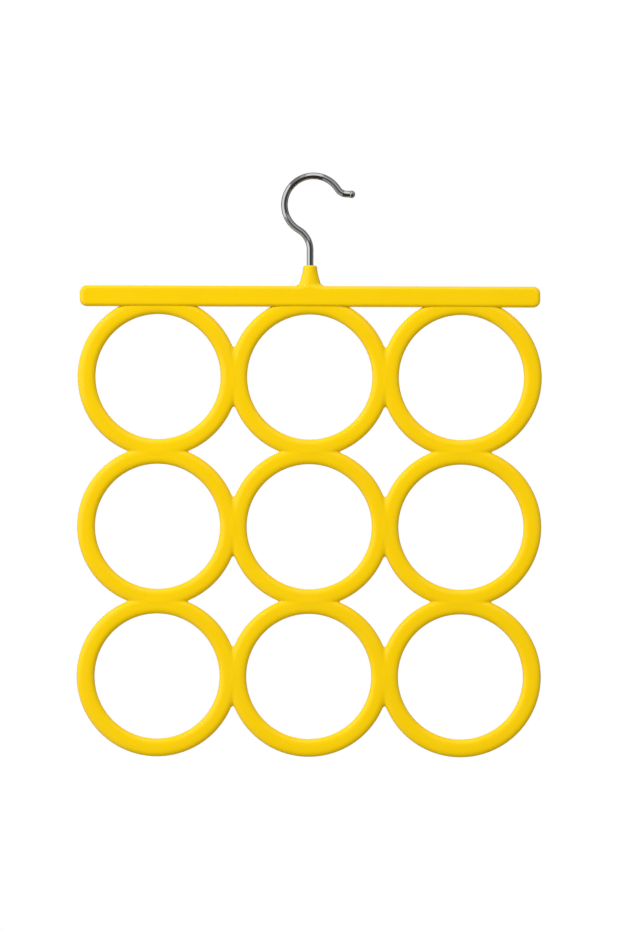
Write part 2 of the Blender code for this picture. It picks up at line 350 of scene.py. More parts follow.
# Distance from a point to the skin of one ring, and the way out of it.
def ringDistanceGroup():
    tree, given, out = newTree(
        "ringDistance",
        "GeometryNodeTree",
        [("Point", "Vector", None), ("Axis", "Vector", None), ("Middle Radius", "Float", 0.04),
         ("Half Band", "Float", 0.005), ("Half Depth", "Float", 0.003), ("Section Power", "Float", 3.0)],
        [("Distance", "Float"), ("Way Out", "Vector")],
    )
    halfBand, halfDepth = Reading(tree, given["Half Band"]), Reading(tree, given["Half Depth"])
    power = Reading(tree, given["Section Power"])
    x, y, z = splitXyz(tree, vectorCalc(tree, "SUBTRACT", given["Point"], given["Axis"]))
    radius = calc(tree, "MAXIMUM", calc(tree, "SQRT", x * x + z * z), 1e-6)
    across = radius - Reading(tree, given["Middle Radius"])
    acrossShare, depthShare = calc(tree, "ABSOLUTE", across) / halfBand, calc(tree, "ABSOLUTE", y) / halfDepth
    total = calc(tree, "MAXIMUM", acrossShare ** power + depthShare ** power, 1e-9)
    level = total ** (1.0 / power) - 1.0
    slopeScale = total ** (1.0 / power - 1.0)
    slopeAcross = slopeScale * (acrossShare ** (power - 1.0)) * calc(tree, "SIGN", across) / halfBand
    slopeDepth = slopeScale * (depthShare ** (power - 1.0)) * calc(tree, "SIGN", y) / halfDepth
    slope = calc(tree, "SQRT", slopeAcross * slopeAcross + slopeDepth * slopeDepth)
    steepness = calc(tree, "MAXIMUM", slope, 1e-6)
    slopeAcross, slopeDepth = slopeAcross / steepness, slopeDepth / steepness
    feed(tree, out["Distance"], level / steepness)
    feed(tree, out["Way Out"], joinXyz(tree, x / radius * slopeAcross, slopeDepth, z / radius * slopeAcross))
    return tree


# Joins two skins. The fillet fills a sharp valley between them, and the flush fill a shallow one.
def filletGroup():
    tree, given, out = newTree(
        "valleyFillet",
        "GeometryNodeTree",
        [("Distance A", "Float", 0.0), ("Way Out A", "Vector", None), ("Distance B", "Float", 0.0),
         ("Way Out B", "Vector", None), ("Fillet", "Float", 0.001), ("Flush Fill", "Float", 0.0005)],
        [("Distance", "Float"), ("Way Out", "Vector")],
    )
    a, b = Reading(tree, given["Distance A"]), Reading(tree, given["Distance B"])
    facing = Reading(tree, vectorCalc(tree, "DOT_PRODUCT", given["Way Out A"], given["Way Out B"]))
    sharp = (1.0 - facing) * 0.5
    width = Reading(tree, given["Fillet"]) * sharp + Reading(tree, given["Flush Fill"]) * (1.0 - sharp)
    share = clamp(tree, 0.5 + (b - a) / width * 0.5)
    feed(tree, out["Distance"], b + (a - b) * share - width * share * (1.0 - share))
    mixed = addNode(tree, "ShaderNodeMix", data_type="VECTOR")
    for socket, value in zip((mixed.inputs[0], mixed.inputs[4], mixed.inputs[5]),
                             (share, given["Way Out B"], given["Way Out A"])):
        feed(tree, socket, value)
    feed(tree, out["Way Out"], mixed.outputs[1])
    return tree


# Each ring is four quarters, mirrored. A quarter is a grid: round the ring one way, round its section the
# other. It stops at the planes halfway to its neighbours, so that all quarters weld into one skin.
def latticeTree():
    tree, given, out = newTree(
        "ringLattice",
        "GeometryNodeTree",
        [("Rows", "Int", 3), ("Columns", "Int", 3), ("Pitch Across", "Float", 0.09),
         ("Pitch Down", "Float", 0.09), ("Top Row Height", "Float", 0.0), ("Opening Radius", "Float", 0.0375),
         ("Band", "Float", 0.01), ("Depth", "Float", 0.007), ("Section Power", "Float", 3.0),
         ("Side Fillet", "Float", 0.003), ("Row Fillet", "Float", 0.001), ("Flush Fill", "Float", 0.0005),
         ("Steps Round", "Int", 24), ("Steps Across", "Int", 20), ("Surface", "Material", None)],
        [("Geometry", "Geometry")],
    )
    tree.is_modifier = True
    read = {name: Reading(tree, socket) for name, socket in given.items()}
    halfAcross, halfDown = read["Pitch Across"] * 0.5, read["Pitch Down"] * 0.5
    halfBand, halfDepth = read["Band"] * 0.5, read["Depth"] * 0.5
    middleRadius = read["Opening Radius"] + halfBand
    power = read["Section Power"]

    # one point for each quarter, with its ring's place, the signs that mirror it, and its neighbours
    ringCount = read["Rows"] * read["Columns"]
    quarters = addNode(tree, "GeometryNodePoints", {"Count": ringCount * 4.0})
    index = Reading(tree, addNode(tree, "GeometryNodeInputIndex").outputs[0])
    quarter, ring = calc(tree, "MODULO", index, 4.0), calc(tree, "FLOOR", (index + 0.5) / 4.0)
    row = calc(tree, "FLOOR", (ring + 0.5) / read["Columns"])
    column = ring - row * read["Columns"]
    sideX = calc(tree, "MODULO", quarter, 2.0) * 2.0 - 1.0
    sideZ = calc(tree, "FLOOR", (quarter + 0.5) / 2.0) * 2.0 - 1.0
    axis = joinXyz(tree, (column - (read["Columns"] - 1.0) * 0.5) * read["Pitch Across"], 0.0,
                   read["Top Row Height"] - row * read["Pitch Down"])
    nextColumn, nextRow = column + sideX, row - sideZ
    hasAcross = calc(tree, "GREATER_THAN", nextColumn, -0.5) * calc(
        tree, "LESS_THAN", nextColumn, read["Columns"] - 0.5)
    hasDown = calc(tree, "GREATER_THAN", nextRow, -0.5) * calc(tree, "LESS_THAN", nextRow, read["Rows"] - 0.5)
    keepQuarter = addNode(tree, "GeometryNodeCaptureAttribute", {"Geometry": quarters.outputs[0]})
    for label, value in (("Axis", axis), ("Sides", joinXyz(tree, sideX, 0.0, sideZ)),
                         ("Neighbours", joinXyz(tree, hasAcross, 0.0, hasDown))):
        keepQuarter.capture_items.new("VECTOR", label)
        feed(tree, keepQuarter.inputs[label], value)

    # the grid that becomes a quarter, and each point's place on it from 0 to 1
    grid = addNode(tree, "GeometryNodeMeshGrid", {
        "Size X": 1.0, "Size Y": 1.0, "Vertices X": read["Steps Round"] + 1.0,
        "Vertices Y": read["Steps Across"] * 2.0 + 1.0})
    keepPlace = addNode(tree, "GeometryNodeCaptureAttribute", {"Geometry": grid.outputs["Mesh"]})
    keepPlace.capture_items.new("VECTOR", "Place")
    feed(tree, keepPlace.inputs["Place"], addNode(tree, "GeometryNodeInputPosition").outputs[0])
    instances = addNode(tree, "GeometryNodeInstanceOnPoints", {
        "Points": keepQuarter.outputs["Geometry"], "Instance": keepPlace.outputs["Geometry"]})
    realized = addNode(tree, "GeometryNodeRealizeInstances", {"Geometry": instances.outputs[0]})

    around, across, _ = splitXyz(tree, keepPlace.outputs["Place"])
    around = clamp(tree, around + 0.5)
    outward = 1.0 - calc(tree, "ABSOLUTE", across) * 2.0  # 0 at the opening, 1 at the outside
    frontOrBack = calc(tree, "SIGN", across)
    sideX, _, sideZ = splitXyz(tree, keepQuarter.outputs["Sides"])
    hasAcross, _, hasDown = splitXyz(tree, keepQuarter.outputs["Neighbours"])

    # where on the section the halfway planes first cut the ring, as an angle from the opening side
    def cutAngle(halfPitch):
        share = (halfPitch - middleRadius) / halfBand
        height = (1.0 - calc(tree, "ABSOLUTE", share) ** power) ** (1.0 / power)
        return calc(tree, "ARCTAN2", height, share * -1.0)

    angleAcross, angleDown = cutAngle(halfAcross), cutAngle(halfDown)
    firstAngle = calc(tree, "MINIMUM", angleAcross, angleDown)
    secondAngle = calc(tree, "MAXIMUM", angleAcross, angleDown)
    firstStep = calc(tree, "ROUND", firstAngle / math.pi * read["Steps Across"])
    secondStep = calc(tree, "MAXIMUM", calc(tree, "ROUND", secondAngle / math.pi * read["Steps Across"]),
                      firstStep + 1.0)
    step = calc(tree, "ROUND", outward * read["Steps Across"])

    outerSpread = 1.3  # over 1, the steps across are closer together just outside the cut

    def share(fromStep, toStep):
        return clamp(tree, (step - fromStep) / (toStep - fromStep))

    sectionAngle = (firstAngle * share(0.0, firstStep)
                    + (secondAngle - firstAngle) * share(firstStep, secondStep)
                    + (math.pi - secondAngle) * share(secondStep, read["Steps Across"]) ** outerSpread)
    cosine, sine = calc(tree, "COSINE", sectionAngle) * -1.0, calc(tree, "SINE", sectionAngle)
    reach = (calc(tree, "ABSOLUTE", cosine) ** power + calc(tree, "ABSOLUTE", sine) ** power) ** (1.0 / power)
    radius = middleRadius + cosine / reach * halfBand
    y = sine / reach * halfDepth * frontOrBack

    # round the ring, from the plane beside it to the plane above or below it
    def planeAngle(halfPitch, has):
        ratio = halfPitch / radius
        crossed = calc(tree, "LESS_THAN", ratio, 1.0 - 1e-5)
        return calc(tree, "ARCCOSINE", calc(tree, "MINIMUM", ratio, 1.0)) * crossed * has

    startAngle = planeAngle(halfAcross, hasAcross)
    endAngle = math.pi / 2 - planeAngle(halfDown, hasDown)
    # the steps round are closer together near the joins
    eased, evenShare = 0.5 - calc(tree, "COSINE", around * math.pi) * 0.5, 0.35
    turn = startAngle + (endAngle - startAngle) * (around * evenShare + eased * (1.0 - evenShare))
    x = radius * calc(tree, "COSINE", turn) * sideX
    z = radius * calc(tree, "SINE", turn) * sideZ
    onRing = vectorCalc(tree, "ADD", keepQuarter.outputs["Axis"], joinXyz(tree, x, y, z))
    placed = addNode(tree, "GeometryNodeSetPosition", {"Geometry": realized.outputs[0], "Position": onRing})

    # three steps onto the filleted skin of the ring and its two neighbours. The joined way out is shorter than
    # 1 where two ways out oppose each other, so the step is divided by its square.
    farAway, leastSquare = 10.0, 0.05
    besideAxis = vectorCalc(tree, "ADD", keepQuarter.outputs["Axis"], joinXyz(
        tree, sideX * (read["Pitch Across"] + (1.0 - hasAcross) * farAway), 0.0, 0.0))
    aboveAxis = vectorCalc(tree, "ADD", keepQuarter.outputs["Axis"], joinXyz(
        tree, 0.0, 0.0, sideZ * (read["Pitch Down"] + (1.0 - hasDown) * farAway)))
    geometry = placed.outputs[0]
    for _ in range(3):
        spot = addNode(tree, "GeometryNodeInputPosition").outputs[0]
        skins = [useGroup(tree, ringDistance, {
            "Point": spot, "Axis": place, "Middle Radius": middleRadius, "Half Band": halfBand,
            "Half Depth": halfDepth, "Section Power": power})
            for place in (keepQuarter.outputs["Axis"], besideAxis, aboveAxis)]
        joined = skins[0]
        for neighbour, fillet in zip(skins[1:], (read["Side Fillet"], read["Row Fillet"])):
            joined = useGroup(tree, valleyFillet, {
                "Distance A": joined.outputs["Distance"], "Way Out A": joined.outputs["Way Out"],
                "Distance B": neighbour.outputs["Distance"], "Way Out B": neighbour.outputs["Way Out"],
                "Fillet": fillet, "Flush Fill": read["Flush Fill"]})
        wayOut = joined.outputs["Way Out"]
        square = calc(tree, "MAXIMUM", vectorCalc(tree, "DOT_PRODUCT", wayOut, wayOut), leastSquare)
        shift = vectorCalc(tree, "SCALE", wayOut, Reading(tree, joined.outputs["Distance"]) * -1.0 / square)
        geometry = addNode(tree, "GeometryNodeSetPosition", {"Geometry": geometry, "Offset": shift}).outputs[0]

    flipped = addNode(tree, "GeometryNodeFlipFaces", {
        "Mesh": geometry, "Selection": calc(tree, "GREATER_THAN", sideX * sideZ, 0.0)})
    welded = addNode(tree, "GeometryNodeMergeByDistance", {"Geometry": flipped.outputs[0], "Distance": 2e-6})
    smooth = addNode(tree, "GeometryNodeSetShadeSmooth", {"Geometry": welded.outputs[0]})
    final = addNode(tree, "GeometryNodeRealizeInstances", {"Geometry": smooth.outputs[0]})
    painted = addNode(tree, "GeometryNodeSetMaterial", {
        "Geometry": final.outputs[0], "Material": given["Surface"]})
    feed(tree, out["Geometry"], painted.outputs[0])
    return tree


ringDistance = ringDistanceGroup()
valleyFillet = filletGroup()

lattice = {
    "sectionPower": 3.0, "sideFillet": 0.0030, "rowFillet": 0.0012, "flushFill": 0.0009,
    "stepsRound": 30, "stepsAcross": 22,
}
ringLattice = grow("ringLattice", latticeTree(), {
    "Rows": 3, "Columns": 3, "Pitch Across": pitchAcross, "Pitch Down": pitchDown,
    "Top Row Height": middleAxis.z + pitchDown, "Opening Radius": openingRadius,
    "Band": outerRadius - openingRadius, "Depth": ringHigh.y - ringLow.y,
    "Section Power": lattice["sectionPower"], "Side Fillet": lattice["sideFillet"],
    "Row Fillet": lattice["rowFillet"], "Flush Fill": lattice["flushFill"],
    "Steps Round": lattice["stepsRound"], "Steps Across": lattice["stepsAcross"], "Surface": yellow})
print("ring lattice:", len(ringLattice.data.polygons), "faces")


# Top bar and neck
bar = {
    "height": 0.0124, "cornerRadius": 0.0042, "edgeRadius": 0.0020,
    "footHalfWidth": 0.0060, "flarePower": 1.6, "filletRadius": 0.0032, "wall": 0.0021, "topRounding": 0.0012,
    "setback": 0.0002,  # of the neck's foot from the bar's faces
    "blendWidth": 0.0013, "crownBlendWidth": 0.0002,  # where neck and bar join, at the faces and between them
    "neckReach": 0.014, "neckRoot": 0.0030,  # farther out or lower than these, the skin is the bar's alone
    "openingHalf": 0.0115, "besideOpening": 0.0015,  # the neck's place in the bar's grid, and the step beside it
    "blendTop": 0.0036,  # the height from which the neck is its plain oval
    # the wire's foot, and the play round it
    "shankRadius": 0.0020, "headRadius": 0.0028, "headDepth": 0.0040, "headHeight": 0.0020,
    "clearance": 0.0001, "headPlay": 0.0002, "boreLip": 0.00015,
    "straightSteps": 12, "openingSteps": 12, "blendSteps": 9, "flareSteps": 7, "roundingSteps": 6,
}
barHalf = Vector(((barHigh.x - barLow.x) / 2, (barHigh.y - barLow.y) / 2, bar["height"] / 2))
barTop = barLow.z + bar["height"]
barMiddle = barLow.z + barHalf.z
neckHeight = barHigh.z - barTop
boreRadius = bar["shankRadius"] + bar["clearance"]
neckTopRadius = boreRadius + bar["wall"]
nudge = 1e-5  # half the length over which a slope is taken
axisSteps = [Vector((nudge, 0, 0)), Vector((0, nudge, 0)), Vector((0, 0, nudge))]


def barDistance(point):
    corner, edge = bar["cornerRadius"], bar["edgeRadius"]
    pastX = abs(point.x) - barHalf.x + corner
    pastZ = abs(point.z - barMiddle) - barHalf.z + corner
    outline = math.hypot(max(pastX, 0), max(pastZ, 0)) + min(max(pastX, pastZ), 0) - corner
    pastOutline, pastY = outline + edge, abs(point.y) - barHalf.y + edge
    return math.hypot(max(pastOutline, 0), max(pastY, 0)) + min(max(pastOutline, pastY), 0) - edge


# Half width and half depth of the neck's oval at a height above the bar's top.
def neckOval(height):
    fillet, flareTop = bar["filletRadius"], neckHeight - bar["topRounding"]
    if height < fillet:
        low = max(height, 0)
        width = bar["footHalfWidth"] + fillet - math.sqrt(fillet**2 - (fillet - low) ** 2)
    elif height < flareTop:
        share = (height - fillet) / (flareTop - fillet)
        width = neckTopRadius + (bar["footHalfWidth"] - neckTopRadius) * (1 - share) ** bar["flarePower"]
    else:
        over = min((height - flareTop) / bar["topRounding"], 1)
        width = neckTopRadius - bar["topRounding"] * (1 - math.sqrt(1 - over * over))
    footDepth = barHalf.y - bar["setback"]
    widest = footDepth + (neckTopRadius - footDepth) * max(height, 0) / neckHeight
    return width, min(width, widest)


def neckDistance(point):
    def level(p):
        width, depth = neckOval(p.z - barTop)
        return math.hypot(p.x / width, p.y / depth) - 1
    slope = Vector([level(point + step) - level(point - step) for step in axisSteps]) / (2 * nudge)
    return level(point) / max(slope.length, 1e-6)


# Bar and neck as one skin: they blend at the front and back, and the neck stays behind the bar's faces.
def skinDistance(point):
    toBar = barDistance(point)
    if abs(point.x) > bar["neckReach"] or point.z < barTop - bar["neckRoot"]:
        return toBar
    toNeck = neckDistance(point)
    towardsFace = min(abs(point.y) / barHalf.y, 1) ** 2
    width = bar["crownBlendWidth"] + (bar["blendWidth"] - bar["crownBlendWidth"]) * towardsFace
    overlap = max(width - abs(toBar - toNeck), 0)
    blended = min(toBar, toNeck) - overlap * overlap / (4 * width)
    return max(blended, abs(point.y) - barHalf.y)


def ontoSkin(point, tries=6, closeEnough=1e-8):
    for _ in range(tries):
        away = skinDistance(point)
        if abs(away) < closeEnough:
            break
        slope = Vector([skinDistance(point + step) - skinDistance(point - step) for step in axisSteps])
        if slope.length < 1e-9:
            break
        point = point - slope.normalized() * away
    return point


# Distances from a box's edge that become even steps round it once it is rounded, for one radius or more.
def edgeMargins(*radii):
    shares = (0, 0.423, 0.732, 1)  # 1 less the tangent of 45, 30, 15 and 0 degrees
    leastStep, pastRounding = 0.0003, 0.0005
    steps = sorted({round(radius * share, 6) for radius in radii for share in shares})
    kept = [step for i, step in enumerate(steps) if i == 0 or step - steps[i - 1] > leastStep]
    return kept + [max(radii) + pastRounding]


# Places along one side of such a box.
def sideStations(half, margins, inner):
    outer = [half - margin for margin in margins]
    return [-value for value in outer] + inner + outer[::-1]


def barAndNeck():
    depthMargins = edgeMargins(bar["edgeRadius"])
    endMargins = edgeMargins(bar["edgeRadius"], bar["cornerRadius"])
    yStations = sideStations(barHalf.y, depthMargins, [0])
    zStations = sideStations(barHalf.z, endMargins, [0])
    openHalf, openSteps, sunk = bar["openingHalf"], bar["openingSteps"], len(endMargins) - 2
    straightFrom, straightSteps = barHalf.x - endMargins[-1], bar["straightSteps"]
    straightLength = straightFrom - openHalf - bar["besideOpening"]
    straight = [straightFrom - straightLength * i / straightSteps for i in range(1, straightSteps + 1)]
    opening = [openHalf * (2 * i / openSteps - 1) for i in range(openSteps + 1)]
    xStations = sideStations(barHalf.x, endMargins, [-x for x in straight] + opening + straight[::-1])
    bm = bmesh.new()

    # the loop round the bar, from the front's lower edge up, over the top and down the back
    loop = [(-barHalf.y, z) for z in zStations[:-1]] + [(y, barHalf.z) for y in yStations[:-1]]
    loop += [(barHalf.y, z) for z in zStations[:0:-1]] + [(y, -barHalf.z) for y in yStations[:0:-1]]
    openFrom = len(zStations) - 1 - sunk
    openTo = len(zStations) - 1 + len(yStations) - 1 + sunk
    openIn, openOut = xStations.index(opening[0]), xStations.index(opening[-1])
    verts = {}
    for i, x in enumerate(xStations):
        for j, (y, z) in enumerate(loop):
            if not (openIn < i < openOut and openFrom < j < openTo):
                verts[i, j] = bm.verts.new(ontoSkin(Vector((x, y, barMiddle + z))))
    for i in range(len(xStations) - 1):
        for j in range(len(loop)):
            if openIn <= i < openOut and openFrom <= j < openTo:
                continue
            k = (j + 1) % len(loop)
            bm.faces.new((verts[i, j], verts[i, k], verts[i + 1, k], verts[i + 1, j]))

    # the two ends
    loopNumber = {(round(y, 7), round(z, 7)): j for j, (y, z) in enumerate(loop)}
    for i in (0, len(xStations) - 1):
        cap = {}
        for y in yStations:
            for z in zStations:
                j = loopNumber.get((round(y, 7), round(z, 7)))
                cap[y, z] = verts[i, j] if j is not None else bm.verts.new(
                    ontoSkin(Vector((xStations[i], y, barMiddle + z))))
        for y0, y1 in zip(yStations, yStations[1:]):
            for z0, z1 in zip(zStations, zStations[1:]):
                bm.faces.new((cap[y0, z0], cap[y1, z0], cap[y1, z1], cap[y0, z1]))

    # the rim of the opening under the neck, once round: front, right, back, left
    acrossSteps = openTo - openFrom
    rim = [(i, openFrom, (2 * (i - openIn) / openSteps - 1, -1)) for i in range(openIn, openOut)]
    rim += [(openOut, j, (1, 2 * (j - openFrom) / acrossSteps - 1)) for j in range(openFrom, openTo)]
    rim += [(i, openTo, (2 * (i - openIn) / openSteps - 1, 1)) for i in range(openOut, openIn, -1)]
    rim += [(openIn, j, (-1, 2 * (j - openFrom) / acrossSteps - 1)) for j in range(openTo, openFrom, -1)]
    angles = [math.atan2(v, u) for _, _, (u, v) in rim]
    rimVerts = [verts[i, j] for i, j, _ in rim]

    def oval(height, angle):
        width, depth = neckOval(height)
        return Vector((width * math.cos(angle), depth * math.sin(angle), barTop + height))

    # the neck, from that rim up, over its rounded top, and down the bore to the pocket for the hook's head
    loops = [rimVerts]
    blendTop, blendSteps = bar["blendTop"], bar["blendSteps"]
    for step in range(1, blendSteps + 1):
        share = step / (blendSteps + 1)
        loops.append([bm.verts.new(ontoSkin(vert.co.lerp(oval(blendTop, angle), share)))
                      for vert, angle in zip(rimVerts, angles)])
    flareTop = neckHeight - bar["topRounding"]
    flareSteps, roundingSteps = bar["flareSteps"], bar["roundingSteps"]
    heights = [blendTop + (flareTop - blendTop) * i / flareSteps for i in range(flareSteps + 1)]
    heights += [flareTop + bar["topRounding"] * math.sin(math.pi / 2 * i / roundingSteps)
                for i in range(1, roundingSteps + 1)]
    for height in heights:
        loops.append([bm.verts.new(oval(height, angle)) for angle in angles])
    headTop = barTop - bar["headDepth"]
    pocketRadius = bar["headRadius"] + bar["clearance"]
    lip, rimTop = bar["boreLip"], barHigh.z
    pocketTop, pocketFloor = headTop + bar["headPlay"], headTop - bar["headHeight"] - bar["headPlay"]
    boreProfile = [
        (boreRadius + 2 * lip, rimTop), (boreRadius + lip, rimTop),
        (boreRadius + 0.3 * lip, rimTop - 0.3 * lip), (boreRadius, rimTop - lip),
        (boreRadius, rimTop - 3 * lip), (boreRadius, pocketTop),
        (pocketRadius, pocketTop), (pocketRadius, pocketFloor),
    ]
    for radius, z in boreProfile:
        loops.append([bm.verts.new((radius * math.cos(a), radius * math.sin(a), z)) for a in angles])
    for lower, upper in zip(loops, loops[1:]):
        for n in range(len(lower)):
            m = (n + 1) % len(lower)
            bm.faces.new((lower[n], lower[m], upper[m], upper[n]))
    bm.faces.new(loops[-1])
    bmesh.ops.recalc_face_normals(bm, faces=bm.faces)
    mesh = bpy.data.meshes.new("barAndNeck")
    bm.to_mesh(mesh)
    bm.free()
    mesh.materials.append(yellow)
    mesh.shade_smooth()
    return putInScene("barAndNeck", mesh)


# Welds doubled points, turns every face outward, and shades smooth but for sharp edges.
def finishSkin(piece, weldDistance=1e-7, sharpFrom=38):
    bm = bmesh.new()
    bm.from_mesh(piece.data)
    bmesh.ops.remove_doubles(bm, verts=bm.verts, dist=weldDistance)
    bmesh.ops.recalc_face_normals(bm, faces=bm.faces)
    bm.to_mesh(piece.data)
    bm.free()
    piece.data.shade_smooth()
    piece.data.set_sharp_from_angle(angle=math.radians(sharpFrom))


def looseEdges(mesh):
    bm = bmesh.new()
    bm.from_mesh(mesh)
    count = sum(1 for edge in bm.edges if not edge.is_manifold)
    bm.free()
    return count


barPiece = barAndNeck()
print("bar and neck:", len(barPiece.data.polygons), "faces,", looseEdges(barPiece.data), "open edges; lattice",
      looseEdges(ringLattice.data), "open edges")

# The real frame is one moulding, so the bar and the rings become one closed skin.
union = ringLattice.modifiers.new("withBar", "BOOLEAN")
union.operation, union.solver, union.object = "UNION", "EXACT", barPiece
settle(ringLattice)
bpy.data.objects.remove(barPiece)
moulding = ringLattice
moulding.name = "frameMoulding"
finishSkin(moulding)
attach(moulding, "frame")
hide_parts("top_bar", *[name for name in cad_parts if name.startswith("ring_")])
print("frame moulding:", len(moulding.data.polygons), "faces,", looseEdges(moulding.data), "open edges")


# Hook, bent in one plane from round wire. The sizes of its foot are those that the bar's bore is made for.
hook = {
    "wireDiameter": 2 * bar["shankRadius"], "headDiameter": 2 * bar["headRadius"],
    "headHeight": bar["headHeight"], "headDepth": bar["headDepth"], "headChamfer": 0.0004, "headStep": 0.0002,
    "loopRadius": 0.0174, "loopOffset": 0.0019, "diagonalRun": 0.0014, "neckBendRadius": 0.0140,
    "loopEnd": math.radians(33), "tipBendRadius": 0.0065, "tipDroop": math.radians(2.5),
    "tipStraight": 0.0022, "tipStations": (0.4, 0.75, 0.93),  # shares of the straight before the ball
    "ballDiameter": 0.0045, "ballHalfLength": 0.0021, "ballEnd": math.radians(178), "shoulderSwell": 1.02,
    "stepsRound": 40, "shankSteps": 12, "neckSteps": 24, "diagonalSteps": 5, "loopSteps": 110, "tipSteps": 16,
    "ballSteps": 14,
}


def arc(centre, radius, start, end, steps):
    turns = [start + (end - start) * i / steps for i in range(steps + 1)]
    return [centre + radius * Vector((math.cos(a), 0, math.sin(a))) for a in turns]


# The wire's centreline from its foot to its tip, and how thick it is at each point, in wire radii.
def hookPath():
    wireRadius = hook["wireDiameter"] / 2
    crown = hook["loopRadius"] - wireRadius
    loopCentre = Vector((hook["loopOffset"], 0, -math.sqrt(crown**2 - hook["loopOffset"] ** 2)))
    spacing = math.hypot(hook["neckBendRadius"] + hook["loopRadius"], hook["diagonalRun"])
    sideways = hook["neckBendRadius"] + hook["loopOffset"]
    neckCentre = Vector((-hook["neckBendRadius"], 0, loopCentre.z - math.sqrt(spacing**2 - sideways**2)))
    across = loopCentre - neckCentre
    neckEnd = math.atan2(across.z, across.x) - math.acos(
        (hook["neckBendRadius"] + hook["loopRadius"]) / across.length)
    outOfLoop = Vector((math.cos(hook["loopEnd"]), 0, math.sin(hook["loopEnd"])))
    tipCentre = loopCentre + (hook["loopRadius"] + hook["tipBendRadius"]) * outOfLoop
    neck = arc(neckCentre, hook["neckBendRadius"], 0, neckEnd, hook["neckSteps"])
    loop = arc(loopCentre, hook["loopRadius"], neckEnd + math.pi, hook["loopEnd"], hook["loopSteps"])
    tip = arc(tipCentre, hook["tipBendRadius"], hook["loopEnd"] + math.pi, 1.5 * math.pi - hook["tipDroop"],
              hook["tipSteps"])

    headTop = barTop - hook["headDepth"]
    headBottom = headTop - hook["headHeight"]
    headSwell, chamfer = hook["headDiameter"] / hook["wireDiameter"], hook["headChamfer"]
    shankFrom = headTop + hook["headStep"]
    stations = [(headBottom, headSwell - chamfer / wireRadius), (headBottom + chamfer, headSwell),
                (headTop - chamfer, headSwell), (headTop, hook["shoulderSwell"]), (shankFrom, 1)]
    shankSteps, diagonalSteps, ballSteps = hook["shankSteps"], hook["diagonalSteps"], hook["ballSteps"]
    stations += [(shankFrom + (neckCentre.z - shankFrom) * i / shankSteps, 1) for i in range(1, shankSteps)]
    path = [(Vector((0, 0, z)), swell) for z, swell in stations]
    diagonalFrom, diagonalTo = neck[-1], loop[0]
    path += [(point, 1) for point in neck]
    path += [(diagonalFrom.lerp(diagonalTo, i / diagonalSteps), 1) for i in range(1, diagonalSteps)]
    path += [(point, 1) for point in loop + tip[1:]]

    along = Vector((math.cos(hook["tipDroop"]), 0, -math.sin(hook["tipDroop"])))
    ballSwell = hook["ballDiameter"] / hook["wireDiameter"]
    leave = math.asin(1 / ballSwell)
    ballMiddle = hook["tipStraight"] + hook["ballHalfLength"] * math.cos(leave)
    for share, swell in zip(hook["tipStations"], (1, 1, hook["shoulderSwell"])):
        path.append((tip[-1] + along * hook["tipStraight"] * share, swell))
    for i in range(ballSteps + 1):
        angle = leave + (hook["ballEnd"] - leave) * i / ballSteps
        reach = ballMiddle - hook["ballHalfLength"] * math.cos(angle)
        path.append((tip[-1] + along * reach, ballSwell * math.sin(angle)))
    return path


# A round wire swept along a path of edges; each point of the path says how thick the wire is there.
def bentWireTree():
    tree, given, out = newTree(
        "bentWire",
        "GeometryNodeTree",
        [("Path", "Geometry", None), ("Wire Diameter", "Float", 0.004), ("Steps Round", "Int", 32),
         ("Surface", "Material", None)],
        [("Geometry", "Geometry")],
    )
    tree.is_modifier = True
    line = addNode(tree, "GeometryNodeMeshToCurve", {"Mesh": given["Path"]})
    length = Reading(tree, addNode(tree, "GeometryNodeSplineParameter").outputs["Length"])
    keepLength = addNode(tree, "GeometryNodeCaptureAttribute", {"Geometry": line.outputs[0]})
    keepLength.capture_items.new("FLOAT", "Length")
    feed(tree, keepLength.inputs["Length"], length)
    section = addNode(tree, "GeometryNodeCurvePrimitiveCircle", {
        "Resolution": given["Steps Round"], "Radius": Reading(tree, given["Wire Diameter"]) * 0.5})
    keepRound = addNode(tree, "GeometryNodeCaptureAttribute", {"Geometry": section.outputs[0]})
    keepRound.capture_items.new("VECTOR", "Round")
    feed(tree, keepRound.inputs["Round"], addNode(tree, "GeometryNodeInputPosition").outputs[0])
    swell = addNode(tree, "GeometryNodeInputNamedAttribute", {"Name": "swell"}, data_type="FLOAT").outputs[0]
    swept = addNode(tree, "GeometryNodeCurveToMesh", {
        "Curve": keepLength.outputs["Geometry"], "Profile Curve": keepRound.outputs["Geometry"], "Scale": swell,
        "Fill Caps": True})
    # round the wire in wire widths, and along it far more slowly, for lines that follow the bends
    alongPerMetre = 8.0
    roundX, roundY, _ = splitXyz(tree, vectorCalc(
        tree, "SCALE", keepRound.outputs["Round"], 1.0 / Reading(tree, given["Wire Diameter"])))
    flow = joinXyz(tree, roundX, roundY, Reading(tree, keepLength.outputs["Length"]) * alongPerMetre)
    marked = addNode(tree, "GeometryNodeStoreNamedAttribute", {
        "Geometry": swept.outputs[0], "Name": "wireFlow"}, data_type="FLOAT_VECTOR", domain="POINT")
    feed(tree, next(s for s in marked.inputs if s.name == "Value" and s.enabled), flow)
    smooth = addNode(tree, "GeometryNodeSetShadeSmooth", {"Geometry": marked.outputs[0]})
    final = addNode(tree, "GeometryNodeRealizeInstances", {"Geometry": smooth.outputs[0]})
    painted = addNode(tree, "GeometryNodeSetMaterial", {
        "Geometry": final.outputs[0], "Material": given["Surface"]})
    feed(tree, out["Geometry"], painted.outputs[0])
    return tree


